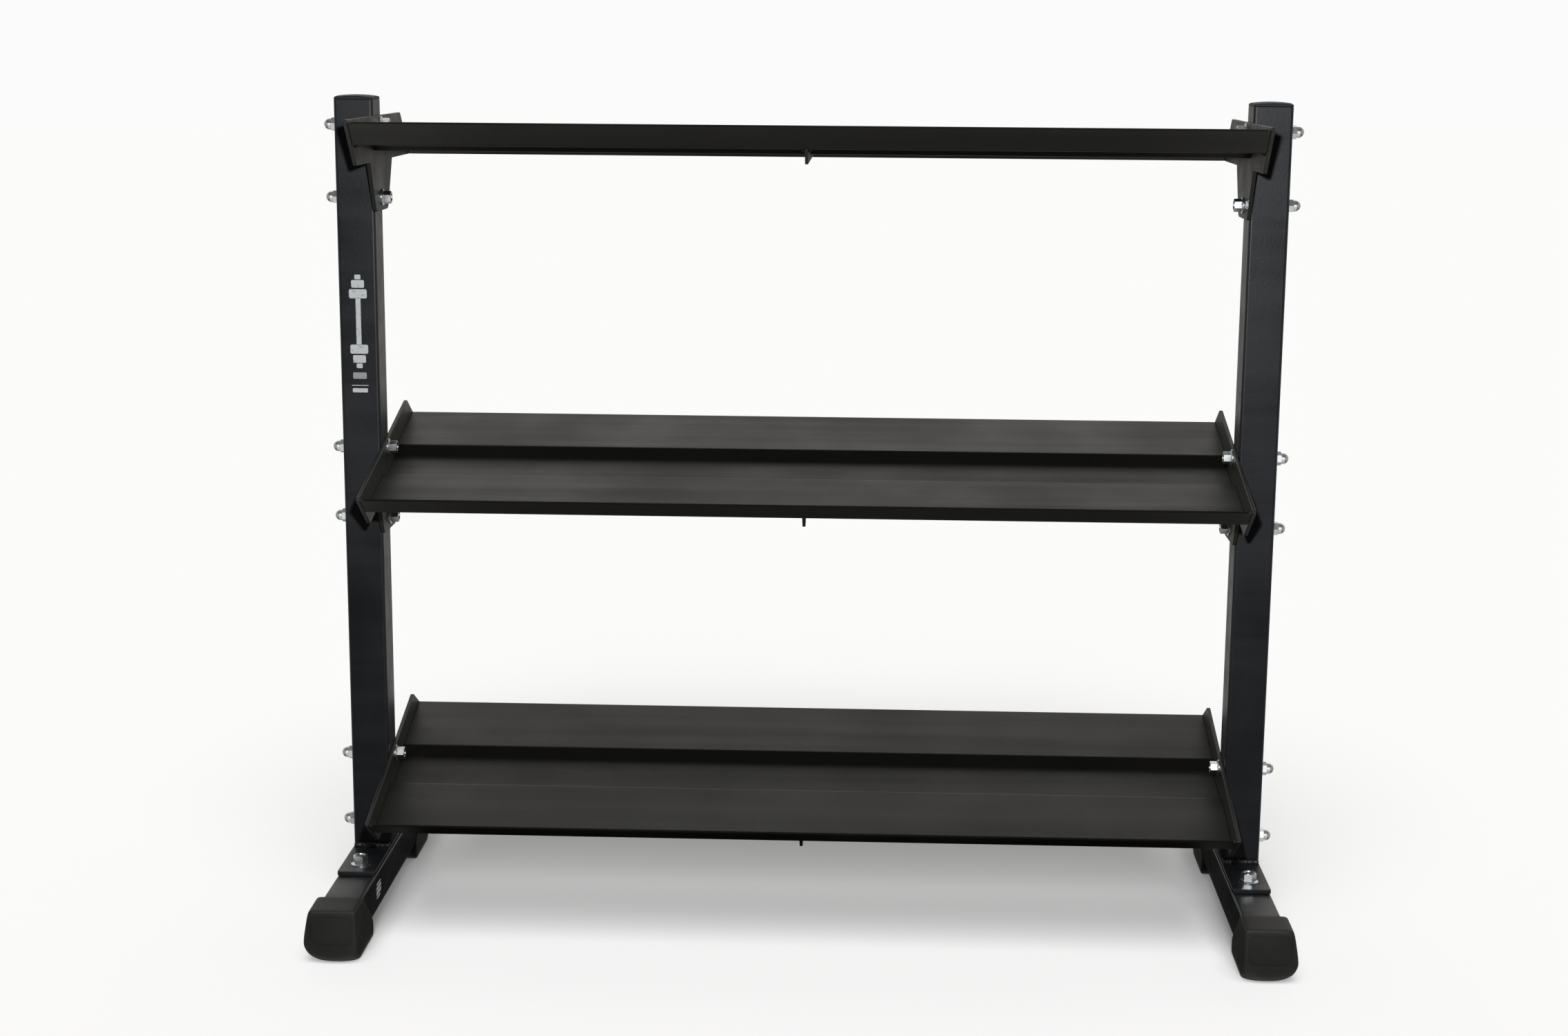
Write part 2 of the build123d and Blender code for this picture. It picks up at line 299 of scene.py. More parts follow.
def select_only(thing):
    bpy.ops.object.select_all(action="DESELECT")
    thing.select_set(True)
    bpy.context.view_layer.objects.active = thing


def mode(name):
    bpy.ops.object.mode_set(mode=name)


def start(kind, name, place=(0, 0, 0), scale=(1, 1, 1), **settings):
    """Adds a primitive, scaled and placed in millimetres, with its place in its mesh."""
    bpy.ops.object.select_all(action="DESELECT")
    getattr(bpy.ops.mesh, f"primitive_{kind}_add")(**settings)
    piece = bpy.context.object
    piece.name = name
    piece.scale = [side * MM for side in scale]
    piece.location = [way * MM for way in place]
    bpy.ops.object.transform_apply(location=True, rotation=True, scale=True)
    return piece


def pick(kind, test):
    """In edit mode, selects only the parts of one kind whose middle, in millimetres, passes the test."""
    bpy.ops.mesh.select_mode(type=kind)
    bpy.ops.mesh.select_all(action="DESELECT")
    mesh = bmesh.from_edit_mesh(bpy.context.object.data)
    for part in {"VERT": mesh.verts, "EDGE": mesh.edges, "FACE": mesh.faces}[kind]:
        corners = [part] if kind == "VERT" else list(part.verts)
        middle = sum((corner.co for corner in corners), Vector()) / len(corners) / MM
        if test(part, middle):
            part.select_set(True)
    mesh.select_flush_mode()
    bmesh.update_edit_mesh(bpy.context.object.data)


def runs_along_y(edge):
    return abs(edge.verts[0].co.y - edge.verts[1].co.y) > ALONG_Y * MM


def move(x=0, y=0, z=0):
    bpy.ops.transform.translate(value=(x * MM, y * MM, z * MM))


def stretch(x=1, y=1, z=1, about=(0, 0, 0)):
    bpy.ops.transform.resize(value=(x, y, z), center_override=[way * MM for way in about])


def cut(place, way, keep="both"):
    """Cuts the whole mesh along a plane; keep="below" drops what lies along way and closes the cut."""
    bpy.ops.mesh.select_all(action="SELECT")
    bpy.ops.mesh.bisect(
        plane_co=[w * MM for w in place], plane_no=way, clear_outer=keep == "below", use_fill=keep == "below")


def finish_modifier(piece, kind, **settings):
    select_only(piece)
    modifier = piece.modifiers.new(kind.lower(), kind)
    for name, value in settings.items():
        setattr(modifier, name, value)
    bpy.ops.object.modifier_apply(modifier=modifier.name)


def combine(piece, tool, how):
    """Booleans a helper solid into the piece and removes the helper."""
    finish_modifier(piece, "BOOLEAN", operation=how, object=tool, solver="EXACT")
    bpy.data.objects.remove(tool)


def round_edges(piece, width, angle=35):
    finish_modifier(
        piece, "BEVEL", width=width * MM, segments=2, limit_method="ANGLE",
        angle_limit=math.radians(angle), use_clamp_overlap=False, loop_slide=False)


def smooth(piece, angle=35, flats=False):
    """Smooth shading up to an angle; flats=True keeps large flat faces flat up to their rounded edges."""
    select_only(piece)
    bpy.ops.object.shade_smooth_by_angle(angle=math.radians(angle))
    if flats:
        finish_modifier(piece, "WEIGHTED_NORMAL", keep_sharp=True)


def copy_of(piece, name, turn=Matrix()):
    """A copy with its own mesh, turned and moved in its mesh."""
    twin = bpy.data.objects.new(name, piece.data.copy())
    bpy.context.collection.objects.link(twin)
    twin.data.transform(turn)
    if turn.determinant() < 0:
        twin.data.flip_normals()
    return twin


def joined(parts, name):
    bpy.ops.object.select_all(action="DESELECT")
    for part in parts:
        part.select_set(True)
    bpy.context.view_layer.objects.active = parts[0]
    bpy.ops.object.join()
    parts[0].name = name
    return parts[0]


def place_piece(piece, material, slot, *replaced):
    piece.data.materials.clear()
    piece.data.materials.append(material)
    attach(piece, "root")
    if replaced:
        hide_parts(*replaced)


# ---------------------------------------------------------------- sheet and plate with broken edges
# radius of the coated edge on each kind of piece, in millimetres
EDGE_BREAK = {
    "tray": 0.7, "centre_rib": 0.6, "end_plate": 0.8, "base_plate": 0.9, "upright": 0.8, "upright_cap": 0.7,
}
MERGE_WITHIN = 0.01
slot_of = {part["node"]: part["material_slot"] for part in frame["record"]["subparts"]}


def break_edges(node, width):
    """The CAD shape with its sharp cut edges rounded as powder coat leaves them."""
    piece = copy_of(nodes[node], f"{node}_coated")
    select_only(piece)
    mode("EDIT")
    bpy.ops.mesh.select_all(action="SELECT")
    bpy.ops.mesh.remove_doubles(threshold=MERGE_WITHIN * MM)
    bpy.ops.mesh.dissolve_limited(angle_limit=math.radians(1))
    mode("OBJECT")
    round_edges(piece, width, angle=40)
    smooth(piece, 40, flats=True)
    place_piece(piece, nodes[node].data.materials[0], slot_of[node], node)


for node in sorted(nodes):
    for word, width in EDGE_BREAK.items():
        if node.endswith(word):
            break_edges(node, width)


# ---------------------------------------------------------------- rubber boots
# inner and outer side are measured from the middle of the foot tube
boot_low, boot_high = box_of("right_rear_boot")
BOOT_INNER = round(boot_low[X] - UPRIGHT_X, 1)
BOOT_OUTER = round(boot_high[X] - UPRIGHT_X, 1)
BOOT_REAR = boot_low[Y]
# toe and crown before the curves are drawn, which take off the last tenths
BOOT_TOE = 261.5
BOOT_CROWN = 74.8
# height, rear, front and outer side of each level of the boot
BOOT_LEVELS = [
    (0.0, 150.5, 250.5, 34.0),
    (8.0, 148.5, 258.5, 39.6),
    (21.0, 149.0, 260.0, 42.4),
    (30.0, 158.5, 260.6, 42.0),
    (64.0, 199.5, 261.3, 35.4),
    (BOOT_CROWN, 211.0, 261.3, 32.6),
]
LEVEL_NEAR = 0.5
# cuts that hold the corners of the boot
BOOT_ACROSS = [-20.5, 30.0]
BOOT_ALONG = [158.0, 249.0]
# the top slopes down towards the toe
BOOT_SLOPE = 1.2
SLOPE_FROM = 255.0
# height of a level of the sole, and how far its toe corners are drawn back, so that it is round in plan
SOLE_CORNERS = [(0.0, 27), (8.0, 14), (21.0, 5)]
TOE_FROM = 245.0
SOLE_OUTER_FROM = 33.0
SOLE_INNER_TO = -25.0
TUBE_CORNER = 4.0
PANEL_MIDDLE = (4.2, 263.3, 46.0)
PANEL_SIZE = (55.0, 9.0, 40.0)
PANEL_CORNER = 9.0
PANEL_DRAFT = 0.98
PANEL_LEAN = 0.9


def boot():
    """Slip-on boot for a square tube foot: outer side towards +X, toe towards +Y."""
    length, width = BOOT_TOE - BOOT_REAR, BOOT_OUTER - BOOT_INNER
    middle = [(BOOT_INNER + BOOT_OUTER) / 2, (BOOT_REAR + BOOT_TOE) / 2, BOOT_CROWN / 2]
    body = start("cube", "boot", middle, (width, length, BOOT_CROWN), size=1)
    mode("EDIT")
    for x in BOOT_ACROSS:
        cut((x, 0, 0), (1, 0, 0))
    for y in BOOT_ALONG:
        cut((0, y, 0), (0, 1, 0))
    for level in BOOT_LEVELS[1:-1]:
        cut((0, 0, level[0]), (0, 0, 1))
    for height, rear, front, outer in BOOT_LEVELS:
        pick("VERT", lambda part, at: abs(at.z - height) < LEVEL_NEAR)
        stretch((outer - BOOT_INNER) / width, (front - rear) / length, 1, (BOOT_INNER, BOOT_REAR, height))
        move(y=rear - BOOT_REAR)
    pick("VERT", lambda part, at: abs(at.z - BOOT_CROWN) < LEVEL_NEAR and at.y > SLOPE_FROM)
    move(z=-BOOT_SLOPE)
    for height, back in SOLE_CORNERS:
        pick("VERT", lambda part, at: abs(at.z - height) < LEVEL_NEAR and at.y > TOE_FROM
             and (at.x > SOLE_OUTER_FROM or at.x < SOLE_INNER_TO))
        move(y=-back)
    mode("OBJECT")
    finish_modifier(body, "SUBSURF", levels=3, render_levels=3)
    socket = start(
        "cube", "socket", (0, FOOT_TUBE_HALF_LENGTH / 2, FOOT_TUBE_FLOOR + TUBE_HALF),
        (2 * TUBE_HALF, FOOT_TUBE_HALF_LENGTH, 2 * TUBE_HALF), size=1)
    mode("EDIT")
    pick("EDGE", lambda part, at: runs_along_y(part))
    bpy.ops.mesh.bevel(offset=TUBE_CORNER * MM, segments=5, affect="EDGES")
    mode("OBJECT")
    combine(body, socket, "DIFFERENCE")
    # the front panel, pressed in a little, with round corners and drafted sides
    panel = start("cube", "panel", PANEL_MIDDLE, PANEL_SIZE, size=1)
    mode("EDIT")
    pick("EDGE", lambda part, at: runs_along_y(part))
    bpy.ops.mesh.bevel(offset=PANEL_CORNER * MM, segments=8, affect="EDGES")
    pick("VERT", lambda part, at: at.y < PANEL_MIDDLE[Y])
    stretch(PANEL_DRAFT, 1, PANEL_DRAFT, PANEL_MIDDLE)
    pick("VERT", lambda part, at: at.z > PANEL_MIDDLE[Z])
    move(y=PANEL_LEAN)
    pick("VERT", lambda part, at: at.z < PANEL_MIDDLE[Z])
    move(y=-PANEL_LEAN)
    mode("OBJECT")
    combine(body, panel, "DIFFERENCE")
    smooth(body, 30)
    return body


first_boot = boot()
for side, way in SIDES.items():
    for end, along in ENDS.items():
        turn = Matrix.Translation((way * UPRIGHT_X * MM, 0, 0)) @ Matrix.Diagonal((way, along, 1, 1))
        piece = copy_of(first_boot, f"{side}_{end}_rubber_boot", turn)
        smooth(piece, 30)
        place_piece(piece, boot_rubber, "boot_rubber", f"{side}_{end}_boot")
bpy.data.objects.remove(first_boot)


# ---------------------------------------------------------------- fasteners, along +Z from the seat
SHELF_BOLT = dict(flats=15.0, flange=21.8, head=12.0, thread=10.0, length=68.0)
FOOT_BOLT = dict(flats=18.0, flange=26.0, head=13.0, thread=12.0, length=25.0)
ACORN_NUT = dict(flats=16.0, hexagon_height=8.5, height=18.0, ball=7.2, thread=10.2, bore=13.5)
HEXAGON_ROUNDING = 0.35
DIE_SPARE = 0.05            # the cone starts this far outside the hexagon's corners
END_FLAT = 0.48             # radius of the flat left on the end, over the width across flats
CHAMFER_ANGLE = math.radians(30)
HEXAGON_FOOT = 1.0          # the hexagon starts this high, inside the skirt
DISH_RADIUS = 0.37          # over the width across flats
DISH_DEPTH = 1.3
DISH_TAPER = 0.82           # the dish's floor over its mouth
SKIRT_RIM = 1.4
SKIRT_CONE = 1.6
SKIRT_NECK = 0.97           # the cone's top over the width across flats
DOME_ROOT = 2.0             # the dome's skirt reaches down to this height
CUTTER_SPARE = 1.0          # a cutter stands this far proud of what it cuts


def turned(name, radius, bottom, top, sides=48):
    return start("cylinder", name, (0, 0, (bottom + top) / 2), (radius, radius, top - bottom),
                 vertices=sides, radius=1, depth=1)


def chamfered_hexagon(name, flats, bottom, top, both_ends=False):
    """A hexagon whose corners are turned off in a cone, as a bolt maker's die leaves them."""
    hexagon = turned(name, flats / math.sqrt(3), bottom, top, sides=6)
    round_edges(hexagon, HEXAGON_ROUNDING)
    across = flats / math.sqrt(3) + DIE_SPARE
    die = turned("die", across, bottom, top, sides=96)
    mode("EDIT")
    run = across - END_FLAT * flats
    ends = (top, bottom) if both_ends else (top,)
    for end in ends:
        pick("FACE", lambda part, at: abs(at.z - end) < MERGE_WITHIN and abs(part.normal.z) > FACING)
        inward = -1 if end == top else 1
        bpy.ops.mesh.extrude_region_move()
        pick("FACE", lambda part, at: abs(at.z - end) < MERGE_WITHIN and abs(part.normal.z) > FACING)
        stretch((across - run) / across, (across - run) / across, 1)
        pick("VERT", lambda part, at: abs(at.z - end) < MERGE_WITHIN and at.xy.length > across - MERGE_WITHIN)
        move(z=inward * run * math.tan(CHAMFER_ANGLE))
    mode("OBJECT")
    combine(hexagon, die, "INTERSECT")
    return hexagon


def flange_bolt(name, flats, flange, head, thread, length):
    """A bolt with a flange skirt under its hexagon, a shallow dish in its head and a plain shank."""
    bolt = chamfered_hexagon(name, flats, HEXAGON_FOOT, head)
    dish = turned("dish", DISH_RADIUS * flats, head - DISH_DEPTH, head + CUTTER_SPARE)
    mode("EDIT")
    pick("FACE", lambda part, at: part.normal.z < -FACING)
    stretch(DISH_TAPER, DISH_TAPER, 1, (0, 0, head - DISH_DEPTH))
    mode("OBJECT")
    combine(bolt, dish, "DIFFERENCE")
    skirt = turned("skirt", flange / 2, 0, SKIRT_RIM)
    mode("EDIT")
    pick("FACE", lambda part, at: part.normal.z > FACING)
    bpy.ops.mesh.extrude_region_move(TRANSFORM_OT_translate={"value": (0, 0, SKIRT_CONE * MM)})
    neck = SKIRT_NECK * flats / flange
    stretch(neck, neck, 1)
    pick("FACE", lambda part, at: part.normal.z < -FACING)
    bpy.ops.mesh.inset(thickness=(flange - thread) / 2 * MM, depth=0)
    bpy.ops.mesh.extrude_region_move(TRANSFORM_OT_translate={"value": (0, 0, -length * MM)})
    mode("OBJECT")
    combine(bolt, skirt, "UNION")
    return bolt


def acorn_nut(name, flats, hexagon_height, height, ball, thread, bore):
    """A domed cap nut with a blind hole: a hexagon chamfered at both ends under a ball."""
    nut = chamfered_hexagon(name, flats, 0, hexagon_height, both_ends=True)
    dome = start("uv_sphere", "dome", (0, 0, height - ball), (ball, ball, ball), segments=48, ring_count=24)
    mode("EDIT")
    cut((0, 0, height - ball), (0, 0, -1), keep="below")
    pick("FACE", lambda part, at: part.normal.z < -FACING)
    down = DOME_ROOT - height + ball
    bpy.ops.mesh.extrude_region_move(TRANSFORM_OT_translate={"value": (0, 0, down * MM)})
    mode("OBJECT")
    combine(nut, dome, "UNION")
    hole = turned("hole", thread / 2, -CUTTER_SPARE, bore)
    combine(nut, hole, "DIFFERENCE")
    return nut


def seat(x, y, z, axis=None, twist=0.0):
    """Puts a fastener's seat at a place, in millimetres, pointing up or along +X or -X."""
    turn = Matrix.Rotation(math.radians(twist), 4, "Z")
    if axis:
        turn = Matrix.Rotation(math.radians(90 * axis), 4, "Y") @ turn
    return Matrix.Translation((x * MM, y * MM, z * MM)) @ turn


def bolt_pair(node, axis, flange):
    """Where a node's two bolts stand along an axis, from the rims of their flanges, lowest first."""
    low, high = box_of(node)
    return round(low[axis] + flange / 2, 1), round(high[axis] - flange / 2, 1)


# how each fastener happens to be turned, and how each weld puddle lies
dice = random.Random(7)
ANY_TURN = (0, 60)
shelf_bolt = flange_bolt("shelf_bolt", **SHELF_BOLT)
foot_bolt = flange_bolt("foot_bolt", **FOOT_BOLT)
nut = acorn_nut("acorn_nut", **ACORN_NUT)
for side, way in SIDES.items():
    for shelf in SHELVES:
        heads, caps = [], []
        for height in reversed(bolt_pair(f"{shelf}_{side}_bolts", Z, SHELF_BOLT["flange"])):
            heads.append(copy_of(shelf_bolt, "head", seat(
                way * PLATE_INNER_X, UPRIGHT_Y, height, -way, dice.uniform(*ANY_TURN))))
            caps.append(copy_of(nut, "cap", seat(
                way * UPRIGHT_OUTER_X, UPRIGHT_Y, height, way, dice.uniform(*ANY_TURN))))
        for parts, kind in ((heads, "bolts"), (caps, "acorn_nuts")):
            piece = joined(parts, f"{shelf}_{side}_zinc_{kind}")
            smooth(piece, 30, flats=True)
            place_piece(piece, zinc, "zinc_steel", f"{shelf}_{side}_{kind}")
    heads = []
    for y in bolt_pair(f"{side}_foot_bolts", Y, FOOT_BOLT["flange"]):
        heads.append(copy_of(foot_bolt, "head", seat(
            way * UPRIGHT_X, y, BASE_PLATE_TOP, None, dice.uniform(*ANY_TURN))))
    piece = joined(heads, f"{side}_zinc_foot_bolts")
    smooth(piece, 30, flats=True)
    place_piece(piece, zinc, "zinc_steel", f"{side}_foot_bolts")
for model in (shelf_bolt, foot_bolt, nut):
    bpy.data.objects.remove(model)


# ---------------------------------------------------------------- weld beads
RIPPLE_PITCH = 2.3
PUDDLE_SWELL = (0.88, 1.1)
PUDDLE_SHORT = 0.55         # a puddle's length along the run over its width
PUDDLE_STRAY = 0.25
MAINLY = 0.7                # a run whose direction has this much of an axis goes along it
# radius of the bead, and the voxel that melts its puddles together
BASE_BEAD = (4.6, 0.7)
TRAY_BEAD = (2.5, 0.6)
LIP_BEAD = (1.9, 0.5)
BASE_BEAD_HALF = 22.5
BASE_BEAD_OUT = 1.6         # its middle stands this far out from the upright and the base plate
# ends of a lip's bead: from the end plate's inner face, and from its front top corner
LIP_BEAD_ENDS = [(-3.5, 1.6, -1.2), (3.0, 1.4, -0.6)]


def weld_beads(name, runs, bead, material, *replaced):
    """Hand-laid beads: overlapping flat puddles along each run, melted into one skin."""
    radius, voxel = bead
    puddles = []
    for first, last in runs:
        first, last = Vector(first), Vector(last)
        count = max(2, round((last - first).length / RIPPLE_PITCH))
        for step in range(count + 1):
            at = first.lerp(last, step / count)
            swell = radius * dice.uniform(*PUDDLE_SWELL)
            along = (last - first).normalized()
            size = [swell * (PUDDLE_SHORT if abs(share) > MAINLY else 1.0) for share in along]
            stray = Vector([dice.uniform(-PUDDLE_STRAY, PUDDLE_STRAY) for _ in range(3)])
            puddles.append(start("uv_sphere", "puddle", at + stray, size, segments=16, ring_count=10))
    piece = joined(puddles, name)
    finish_modifier(piece, "REMESH", mode="VOXEL", voxel_size=voxel * MM)
    finish_modifier(piece, "SMOOTH", factor=0.5, iterations=1)
    smooth(piece, 180)
    place_piece(piece, material, "black_powder_coat", *replaced)


for side, way in SIDES.items():
    runs = []
    for end in ENDS.values():
        y = UPRIGHT_Y + end * (TUBE_HALF + BASE_BEAD_OUT)
        z = BASE_PLATE_TOP + BASE_BEAD_OUT
        runs.append([(way * UPRIGHT_X + half, y, z) for half in (-BASE_BEAD_HALF, BASE_BEAD_HALF)])
    weld_beads(f"{side}_base_weld_beads", runs, BASE_BEAD, frame_coat, f"{side}_base_welds")


def bead_runs(node):
    """The middle of each end of every bead in a CAD weld node, in millimetres."""
    mesh = bmesh.new()
    mesh.from_mesh(nodes[node].data)
    bmesh.ops.remove_doubles(mesh, verts=mesh.verts, dist=MERGE_WITHIN * MM)
    left = set(mesh.verts)
    runs = []
    for first_corner in list(mesh.verts):
        if first_corner not in left:
            continue
        bead, open_ends = [], [first_corner]
        left.discard(first_corner)
        while open_ends:
            corner = open_ends.pop()
            bead.append(corner.co / MM)
            for edge in corner.link_edges:
                other = edge.other_vert(corner)
                if other in left:
                    left.discard(other)
                    open_ends.append(other)
        bead.sort(key=lambda at: at.y)
        half = len(bead) // 2
        runs.append([sum(end, Vector()) / half for end in (bead[:half], bead[-half:])])
    mesh.free()
    return runs


def front_corner(node):
    """The foremost corner of an end plate, in millimetres."""
    corners = (corner.co / MM for corner in nodes[node].data.vertices)
    return min(corners, key=lambda at: (round(at.y, 1), -at.z))


for shelf in SHELVES:
    weld_beads(f"{shelf}_tray_weld_beads", bead_runs(f"{shelf}_tray_welds"), TRAY_BEAD, shelf_coat,
               f"{shelf}_tray_welds")
    runs = []
    for side, way in SIDES.items():
        corner = front_corner(f"{shelf}_{side}_end_plate")
        runs.append([(way * (PLATE_INNER_X + x), corner.y + y, corner.z + z) for x, y, z in LIP_BEAD_ENDS])
    weld_beads(f"{shelf}_lip_corner_welds", runs, LIP_BEAD, shelf_coat)


# ---------------------------------------------------------------- printed marks
MARK_THICKNESS = 0.12
MARK_SINK = 0.03
MARK_CORNER = 0.18          # over the bar's shorter side
UPRIGHT_FRONT_Y = UPRIGHT_Y - TUBE_HALF
SIGN_HEIGHT = 798.0
FOOT_LABEL_ALONG = -104.0
FOOT_LABEL_HEIGHT = 46.0
# each bar: middle across, middle up, width, height
DUMBBELL_SIGN = [(0, 0, 6.5, 62)]
for away in (-1, 1):
    DUMBBELL_SIGN += [(0, away * 36.5, 23.5, 12), (0, away * 49.5, 17, 10), (0, away * 58.5, 8, 6)]
SMALL_BARS = [(0, -84.5, 22, 0.9), (0, -91, 20, 5.5)]
GREY_BAR = [(0, -71.5, 18, 8.5)]
FOOT_LABEL = [(0, 10.5, 24, 2.4), (0, 5, 28, 4.4), (0, -1.5, 28, 5.2), (-3, -7.6, 20, 2.6)]


def printed_mark(name, bars, turn, material):
    """A cut vinyl mark of plain bars, facing -Y before the turn."""
    parts = []
    for x, z, width, height in bars:
        y = MARK_SINK - MARK_THICKNESS / 2
        bar = start("cube", "bar", (x, y, z), (width, MARK_THICKNESS, height), size=1)
        mode("EDIT")
        pick("EDGE", lambda part, at: runs_along_y(part))
        bpy.ops.mesh.bevel(offset=min(width, height) * MARK_CORNER * MM, segments=4, affect="EDGES")
        mode("OBJECT")
        parts.append(bar)
    piece = joined(parts, name)
    piece.data.transform(turn)
    place_piece(piece, material, "black_powder_coat")


on_upright = Matrix.Translation((-UPRIGHT_X * MM, UPRIGHT_FRONT_Y * MM, SIGN_HEIGHT * MM))
printed_mark("left_upright_dumbbell_sign", DUMBBELL_SIGN, on_upright, white_vinyl)
printed_mark("left_upright_small_bars", SMALL_BARS, on_upright, white_vinyl)
printed_mark("left_upright_grey_bar", GREY_BAR, on_upright, grey_vinyl)
label_place = ((TUBE_HALF - UPRIGHT_X) * MM, FOOT_LABEL_ALONG * MM, FOOT_LABEL_HEIGHT * MM)
on_foot = Matrix.Translation(label_place) @ Matrix.Rotation(math.pi / 2, 4, "Z")
printed_mark("left_foot_label_bars", FOOT_LABEL, on_foot, white_vinyl)


# ---------------------------------------------------------------- studio, in metres
FLOOR_SIZE = 60.0
FLOOR_GLOW = 0.13
CARD_PLACE = (0, 0.08, 0.002)
CARD_SIZE = (1.12, 0.64)
bpy.ops.object.select_all(action="DESELECT")
bpy.ops.mesh.primitive_plane_add(size=FLOOR_SIZE, location=(0, 0, 0))
floor = bpy.context.object
floor.name = "studio_floor"
floor_paper, tree = new_material("pale_studio_paper")
shade = add(tree, "ShaderNodeBsdfDiffuse", [("Color", linear("#a0a0a0"))])
glow = add(tree, "ShaderNodeEmission", [("Color", linear("#fcfbfc")), ("Strength", FLOOR_GLOW)])
lit = add(tree, "ShaderNodeAddShader", [(0, shade.outputs["BSDF"]), (1, glow.outputs["Emission"])])
add(tree, "ShaderNodeOutputMaterial", [("Surface", lit.outputs["Shader"])])
floor.data.materials.append(floor_paper)
floor.visible_glossy = False
floor.visible_diffuse = False

# a dark card lying between the feet, which only reflections meet: painted shade that stands in for the
# shadowed floor under the rack where the foot tubes and bolts mirror it
bpy.ops.object.select_all(action="DESELECT")
bpy.ops.mesh.primitive_plane_add(size=1, location=CARD_PLACE)
card = bpy.context.object
card.scale = (*CARD_SIZE, 1)
bpy.ops.object.transform_apply(location=True, rotation=True, scale=True)
card.name = "dark_card"
reflected_floor_shade_paint, tree = new_material("dark_card_paper")
shade = add(tree, "ShaderNodeBsdfDiffuse", [("Color", linear("#0a0a0a"))])
add(tree, "ShaderNodeOutputMaterial", [("Surface", shade.outputs["BSDF"])])
card.data.materials.append(reflected_floor_shade_paint)
for sort in ("camera", "diffuse", "shadow", "transmission", "volume_scatter"):
    setattr(card, f"visible_{sort}", False)

# The room's light depends only on its direction, whose axes run from -1 to 1. Each fade changes
# smoothly between two values of one axis: axis, from, to, strength before and after.
FADES = {
    "wall_rises": ("Z", 0.15, 0.5, 0.5, 1.2),
    "wall_falls": ("Z", 0.6, 0.8, 1.0, 0.28),
    "behind": ("Y", 0.05, 0.75, 0.0, 1.0),
    "sides": ("aside", 0.6, 0.95, 0.0, 0.5),
    "ceiling": ("Z", 0.7, 0.98, 0.0, 0.3),
    "downwards": ("Z", -0.9, -0.3, 0.55, 1.0),
    "straight_below": ("Z", -0.98, -0.78, 0.9, 0.0),
}
NEVER_DARK = 0.03
# how the fades are put together: the new one, the operation and the two it is made from
MIXES = [
    ("wall_height", "MULTIPLY", "wall_rises", "wall_falls"),
    ("wall", "MULTIPLY", "behind", "wall_height"),
    ("wall_or_sides", "MAXIMUM", "wall", "sides"),
    ("brightest", "MAXIMUM", "wall_or_sides", "ceiling"),
    ("lifted", "ADD", "brightest", NEVER_DARK),
    ("around", "MULTIPLY", "lifted", "downwards"),
    ("level", "MAXIMUM", "around", "straight_below"),
]
world = bpy.data.worlds.new("soft_studio")
bpy.context.scene.world = world
world.use_nodes = True
tree = world.node_tree
tree.nodes.clear()
direction = add(tree, "ShaderNodeTexCoord").outputs["Generated"]
split = add(tree, "ShaderNodeSeparateXYZ", [("Vector", direction)])
aside = add(tree, "ShaderNodeMath", [(0, split.outputs["X"])], operation="ABSOLUTE")
axes = {"Y": split.outputs["Y"], "Z": split.outputs["Z"], "aside": aside.outputs[0]}
strength = {}
for name, (axis, start_at, end_at, before, after) in FADES.items():
    fade = add(tree, "ShaderNodeMapRange", [
        ("Value", axes[axis]), ("From Min", start_at), ("From Max", end_at),
        ("To Min", before), ("To Max", after)], interpolation_type="SMOOTHSTEP")
    strength[name] = fade.outputs["Result"]
for name, operation, first, second in MIXES:
    mix = add(tree, "ShaderNodeMath", [
        (0, strength[first]), (1, strength.get(second, second))], operation=operation)
    strength[name] = mix.outputs[0]
room = add(tree, "ShaderNodeBackground", [("Color", linear("#fffdf8")), ("Strength", strength["level"])])
backdrop = add(tree, "ShaderNodeBackground", [("Color", linear("#fcfbfc"))])
seen = add(tree, "ShaderNodeLightPath").outputs["Is Camera Ray"]
choice = add(tree, "ShaderNodeMixShader", [
    (0, seen), (1, room.outputs["Background"]), (2, backdrop.outputs["Background"])])
add(tree, "ShaderNodeOutputWorld", [("Surface", choice.outputs["Shader"])])


def group(name, test):
    """A collection of the mesh objects whose name passes the test, for a lamp to light or be shaded by."""
    collection = bpy.data.collections.new(name)
    for thing in bpy.data.objects:
        if thing.type == "MESH" and test(thing.name):
            collection.objects.link(thing)
    return collection


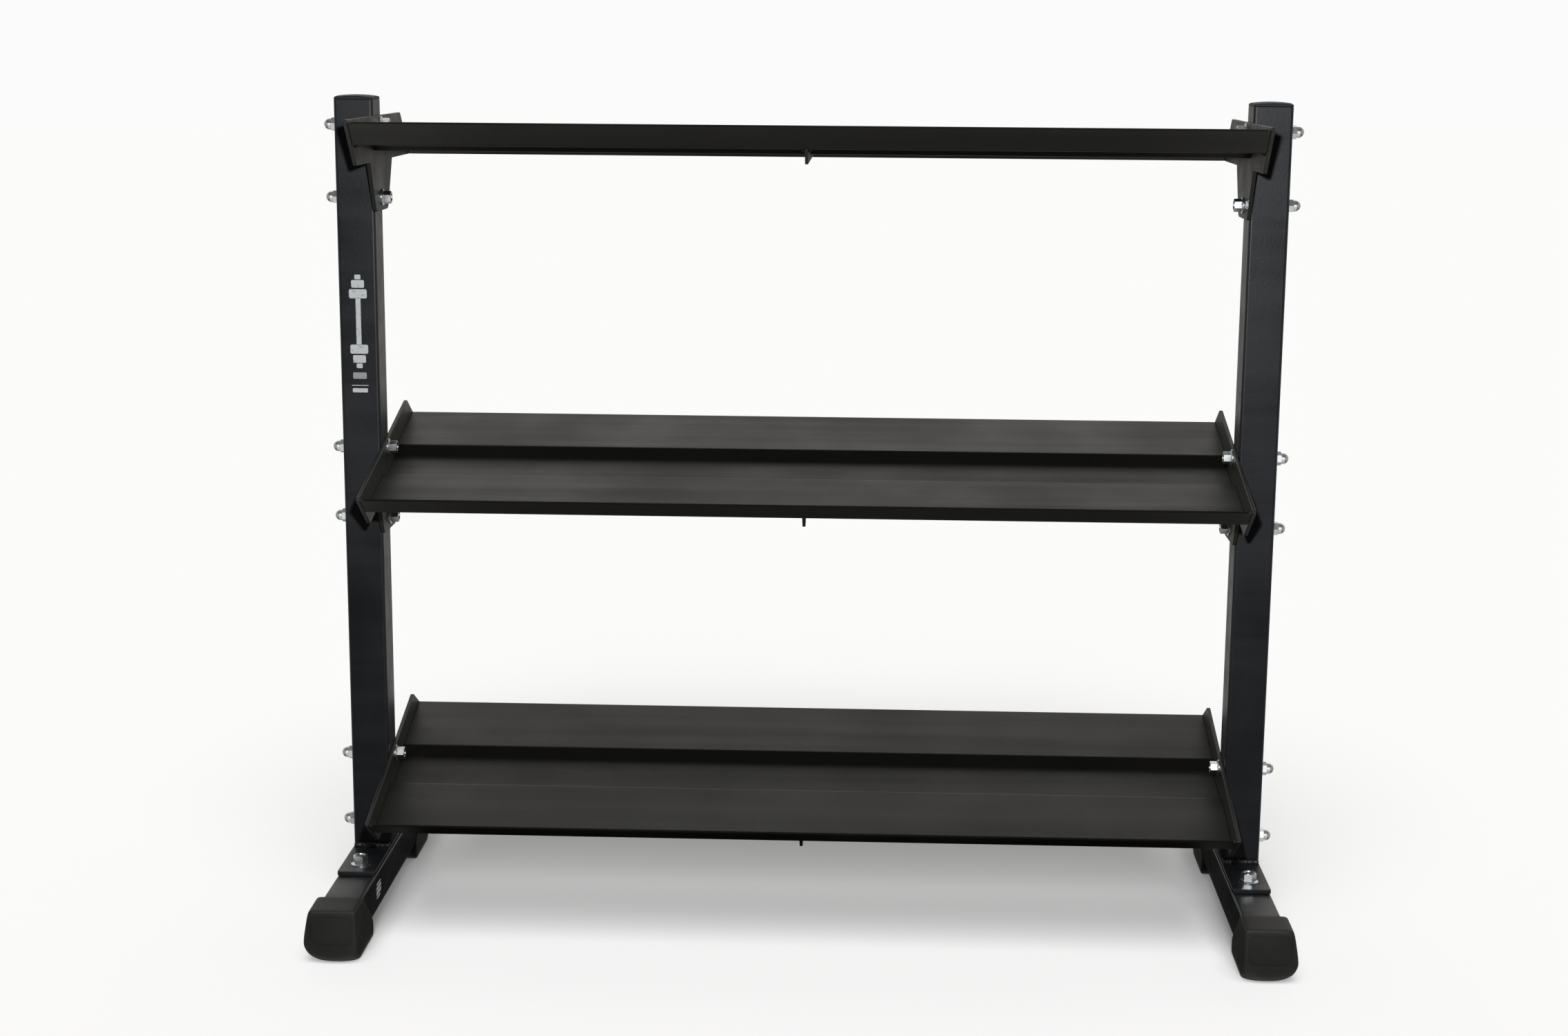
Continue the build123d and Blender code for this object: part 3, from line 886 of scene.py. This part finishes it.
def lamp(name, kind, place, aim, lights, shaded_by=None, glossy=True, **settings):
    """A lamp that lights one group only, and is shaded by one group if it is given."""
    data = bpy.data.lights.new(name, kind)
    for key, value in settings.items():
        setattr(data, key, value)
    light = bpy.data.objects.new(name, data)
    place, aim = Vector(place), Vector(aim)
    facing = (aim - place).to_track_quat("-Z", "Y").to_matrix().to_4x4()
    light.matrix_world = Matrix.Translation(place) @ facing
    bpy.context.collection.objects.link(light)
    light.visible_camera = False
    light.visible_glossy = glossy
    light.light_linking.receiver_collection = lights
    if shaded_by:
        light.light_linking.blocker_collection = shaded_by


NEAR_FLOOR = ("bottom_", "foot_tube", "boot", "base_plate")
STUDIO = (floor.name, card.name)
only_floor = group("floor_only", lambda name: name == floor.name)
near_floor = group("parts_near_the_floor", lambda name: any(word in name for word in NEAR_FLOOR))
fasteners = group("zinc_fasteners", lambda name: "_zinc_" in name)
trays = group("trays", lambda name: "_tray" in name)
others = group("all_but_trays", lambda name: "_tray" not in name and name not in STUDIO)

# two soft lights for the shadow on the floor
lamp("overhead_softbox", "SUN", (0, -1.3, 2.6), (0, 0, 0), only_floor, energy=4.2, angle=math.radians(44))
lamp("low_softbox", "SUN", (0, -2.6, 0.95), (0, 0, 0), only_floor, near_floor,
     energy=7.8, angle=math.radians(26))
# one small lamp in front, which the trays do not mirror
FRONT = dict(place=(0.075, -2.5, 1.27), aim=(0, 0, 0.65), size=0.07, color=(0.96, 0.98, 1.0))
lamp("front_lamp", "AREA", lights=others, energy=42.0, **FRONT)
lamp("front_lamp_on_trays", "AREA", lights=trays, glossy=False, energy=15.0, **FRONT)
# broad lights that only the zinc fasteners mirror
for side, way in SIDES.items():
    lamp(f"{side}_fastener_softbox", "AREA", (way * 1.3, -2.2, 1.1), (0, 0, 0.45), fasteners,
         energy=13.0, size=1.7)
lamp("fastener_floor_bounce", "AREA", (0, -1.6, -0.5), (0, 0, 0.4), fasteners, near_floor,
     energy=25.0, shape="RECTANGLE", size=4.5, size_y=2.0)
